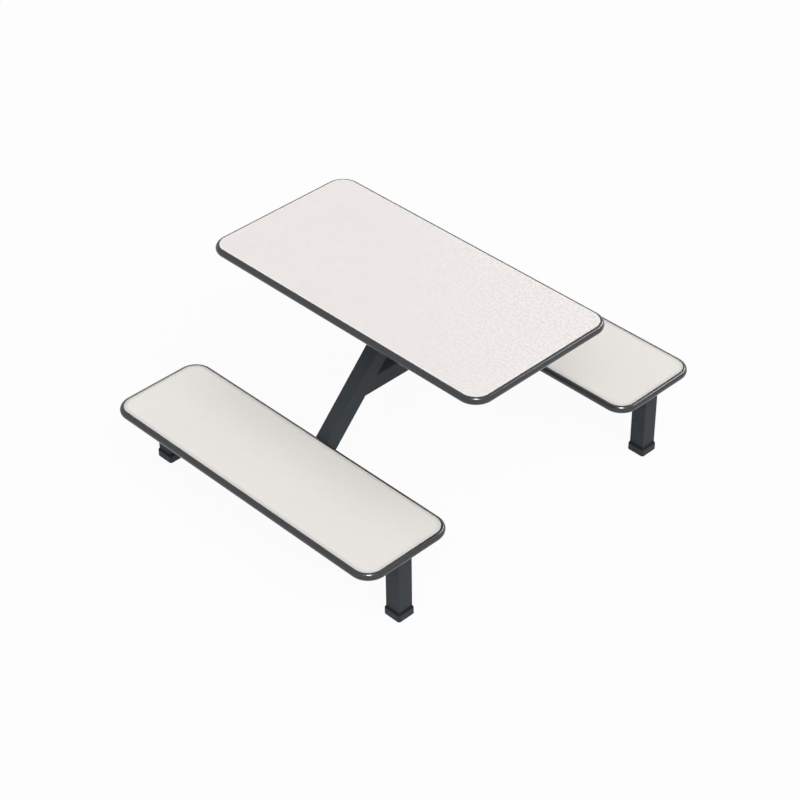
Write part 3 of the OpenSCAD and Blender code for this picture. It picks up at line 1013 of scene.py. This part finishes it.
class DESK_OT_plates(bpy.types.Operator):
    """Models the plates under the boards, the flanges and the spines' end plugs"""

    bl_idname = "desk.plates"
    bl_label = "Plates, flanges and plugs"

    def execute(self, context):
        settings = context.scene.desk_frame
        plates = {"head_plate": "", "left_bearer": "X", "near_seat_plate": "Y", "near_left_leg_plate": "XY"}
        for node, axes in plates.items():
            complete(self.plate(settings, node, UP), axes, paint())
        complete(self.plate(settings, "near_flange", FAR), "Y", paint())
        finish = plastic_finish("end_plug_plastic", context.scene.desk_colours.plug)
        complete(self.plug(settings), "X", finish)
        return {"FINISHED"}

    def plate(self, settings, node, across):
        """Flat plate with rounded corners, thin along one direction"""
        low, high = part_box(node)
        plate = block(node + "_steel", low, high)
        round_along(plate, across, settings.plate_corner, PLATE_CORNER_STEPS)
        for face in (low, high):
            round_rim(plate, face, across, settings.plate_bevel, BEVEL_STEPS)
        return plate

    def plug(self, settings):
        """The visible head of the left spine's end plug"""
        low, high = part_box("left_spine_plug")
        high.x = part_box("left_spine")[0].x
        plug = block("left_spine_plug_moulded", low, high)
        round_along(plug, RIGHT, settings.arris, settings.arris_steps)
        round_rim(plug, low, RIGHT, settings.plug_edge, PLUG_EDGE_STEPS)
        return plug


class DESK_OT_finishes(bpy.types.Operator):
    """Gives the pieces that are used as they come from the frame their materials"""

    bl_idname = "desk.finishes"
    bl_label = "Finishes"

    def execute(self, context):
        core = material("particle_board", core_finish)
        backer = material("backer_sheet_matt", backer_finish)
        zinc = material("zinc_plate", zinc_finish)
        finishes = {
            "core": core, "backer": backer,
            "screws": zinc, "bolts": zinc, "nuts": zinc, "washers": zinc,
        }
        for name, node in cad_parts.items():
            finish = finishes.get(name.rsplit("_", 1)[-1])
            if finish:
                node.data.materials.clear()
                node.data.materials.append(finish)
        return {"FINISHED"}


class DESK_OT_studio(bpy.types.Operator):
    """Sets up the floor, the lamps and the camera"""

    bl_idname = "desk.studio"
    bl_label = "Studio"

    def execute(self, context):
        settings = context.scene.desk_studio
        context.scene.view_settings.view_transform = "Standard"
        self.floor(settings)
        self.world(settings)
        key = self.direction(settings.key_azimuth, settings.key_elevation)
        self.sun("key_lamp", settings.key, settings.key_spread, key).visible_glossy = False
        glint = self.direction(settings.glint_azimuth, settings.glint_elevation)
        self.sun("glint_lamp", settings.glint, settings.glint_spread, glint).visible_diffuse = False
        self.strip_lamp(settings)
        self.camera(settings)
        return {"FINISHED"}

    def background(self, nodes):
        """1 for the rays that should see a white background"""
        camera, glossy, through = (
            nodes.node("ShaderNodeLightPath", {}, output=f"Is {kind} Ray")
            for kind in ("Camera", "Glossy", "Transmission"))
        return camera.at_least(glossy).at_least(through)

    def floor(self, settings):
        """Pale floor just under the desk's soles, clear where it is seen from below"""
        deselect()
        bpy.ops.mesh.primitive_plane_add(size=settings.floor_size, location=-settings.floor_drop * UP)
        floor = bpy.context.object
        floor.name = "studio_floor"
        f = Finish("pale_floor")
        grey = settings.floor_grey
        lit = f.node("ShaderNodeBsdfDiffuse", {}, Color=(grey, grey, grey, 1.0))
        white = f.node("ShaderNodeEmission", {}, Color=WHITE, Strength=1.0)
        share = self.background(f) * settings.floor_white
        above = f.node("ShaderNodeMixShader", {}, share, lit, white)
        below = f.node("ShaderNodeBsdfTransparent", {})
        side = f.node("ShaderNodeNewGeometry", {}, output="Backfacing")
        f.node("ShaderNodeOutputMaterial", {}, Surface=f.node("ShaderNodeMixShader", {}, side, above, below))
        floor.data.materials.append(f.material)

    def world(self, settings):
        """Even light from all round, and a white background"""
        world = bpy.data.worlds.new("studio_sky")
        bpy.context.scene.world = world
        nodes = Nodes(world)
        level = settings.sky + self.background(nodes) * (1 - settings.sky)
        sky = nodes.node("ShaderNodeBackground", {}, Color=WHITE, Strength=level)
        nodes.node("ShaderNodeOutputWorld", {}, Surface=sky)

    def direction(self, azimuth, elevation):
        """Unit vector from the desk, turned from the near side towards the right"""
        flat = math.cos(elevation)
        return Vector((math.sin(azimuth) * flat, -math.cos(azimuth) * flat, math.sin(elevation)))

    def sun(self, name, strength, spread, place):
        """Distant lamp that shines from a direction"""
        deselect()
        distance = bpy.context.scene.desk_studio.sun_distance
        bpy.ops.object.light_add(type="SUN", location=place * distance)
        lamp = bpy.context.object
        lamp.name = name
        lamp.data.energy = strength
        lamp.data.angle = spread
        lamp.rotation_euler = (-place).to_track_quat("-Z", "Y").to_euler()
        return lamp

    def strip_lamp(self, settings):
        """Long lamp, turned about its own axis, for the streak along the mouldings"""
        place = Vector(settings.strip_place)
        deselect()
        bpy.ops.object.light_add(type="AREA", location=place)
        lamp = bpy.context.object
        lamp.name = "strip_lamp"
        lamp.data.shape = "RECTANGLE"
        lamp.data.size = settings.strip_length
        lamp.data.size_y = settings.strip_width
        lamp.data.energy = settings.strip
        lamp.visible_camera = False
        lamp.visible_diffuse = False
        turn = (-place).to_track_quat("-Z", "Y") @ Quaternion(UP, settings.strip_slant)
        lamp.rotation_euler = turn.to_euler()

    def camera(self, settings):
        """Camera that looks at its target from the settings' direction, rolled about its own axis"""
        back = self.direction(settings.azimuth, settings.elevation)
        right = UP.cross(back).normalized()
        up = back.cross(right)
        cosine = math.cos(settings.roll)
        sine = math.sin(settings.roll)
        axes = (cosine * right + sine * up, cosine * up - sine * right, back)
        turned = Matrix(axes).transposed().to_4x4()
        deselect()
        bpy.ops.object.camera_add()
        camera = bpy.context.object
        camera.name = "photo_camera"
        camera.data.lens = settings.lens
        camera.data.sensor_width = settings.sensor
        camera.data.clip_end = settings.view_range
        place = Vector(settings.target) + back * settings.distance
        camera.matrix_world = Matrix.Translation(place) @ turned
        bpy.context.scene.camera = camera


class DESK_PT_tools(bpy.types.Panel):
    """Lists the desk's tools in the sidebar"""

    bl_idname = "DESK_PT_tools"
    bl_label = "Kids desk with seats"
    bl_space_type = "VIEW_3D"
    bl_region_type = "UI"
    bl_category = "Desk"

    def draw(self, context):
        for tool in OPERATORS:
            self.layout.operator(tool.bl_idname)
        for name in SETTINGS:
            group = getattr(context.scene, name)
            for key in group.bl_rna.properties.keys():
                if key not in ("rna_type", "name"):
                    self.layout.prop(group, key)


OPERATORS = (
    DESK_OT_laminates,
    DESK_OT_edge_mouldings,
    DESK_OT_frame_members,
    DESK_OT_legs,
    DESK_OT_plates,
    DESK_OT_finishes,
    DESK_OT_studio,
)
SETTINGS = {
    "desk_boards": BoardSettings,
    "desk_frame": FrameSettings,
    "desk_colours": ColourSettings,
    "desk_studio": StudioSettings,
}


def register():
    """Adds the desk's settings, tools and panel to Blender"""
    for group in SETTINGS.values():
        bpy.utils.register_class(group)
    for tool in (*OPERATORS, DESK_PT_tools):
        bpy.utils.register_class(tool)
    for name, group in SETTINGS.items():
        setattr(bpy.types.Scene, name, PointerProperty(type=group))


def unregister():
    """Takes them out again, in the other order"""
    for name in SETTINGS:
        delattr(bpy.types.Scene, name)
    for tool in (DESK_PT_tools, *reversed(OPERATORS)):
        bpy.utils.unregister_class(tool)
    for group in SETTINGS.values():
        bpy.utils.unregister_class(group)


def main():
    """Makes the desk and its studio"""
    register()
    bpy.ops.desk.laminates()
    bpy.ops.desk.edge_mouldings()
    bpy.ops.desk.frame_members()
    bpy.ops.desk.legs()
    bpy.ops.desk.plates()
    bpy.ops.desk.finishes()
    bpy.ops.desk.studio()
    deselect()


if __name__ == "__main__":
    main()
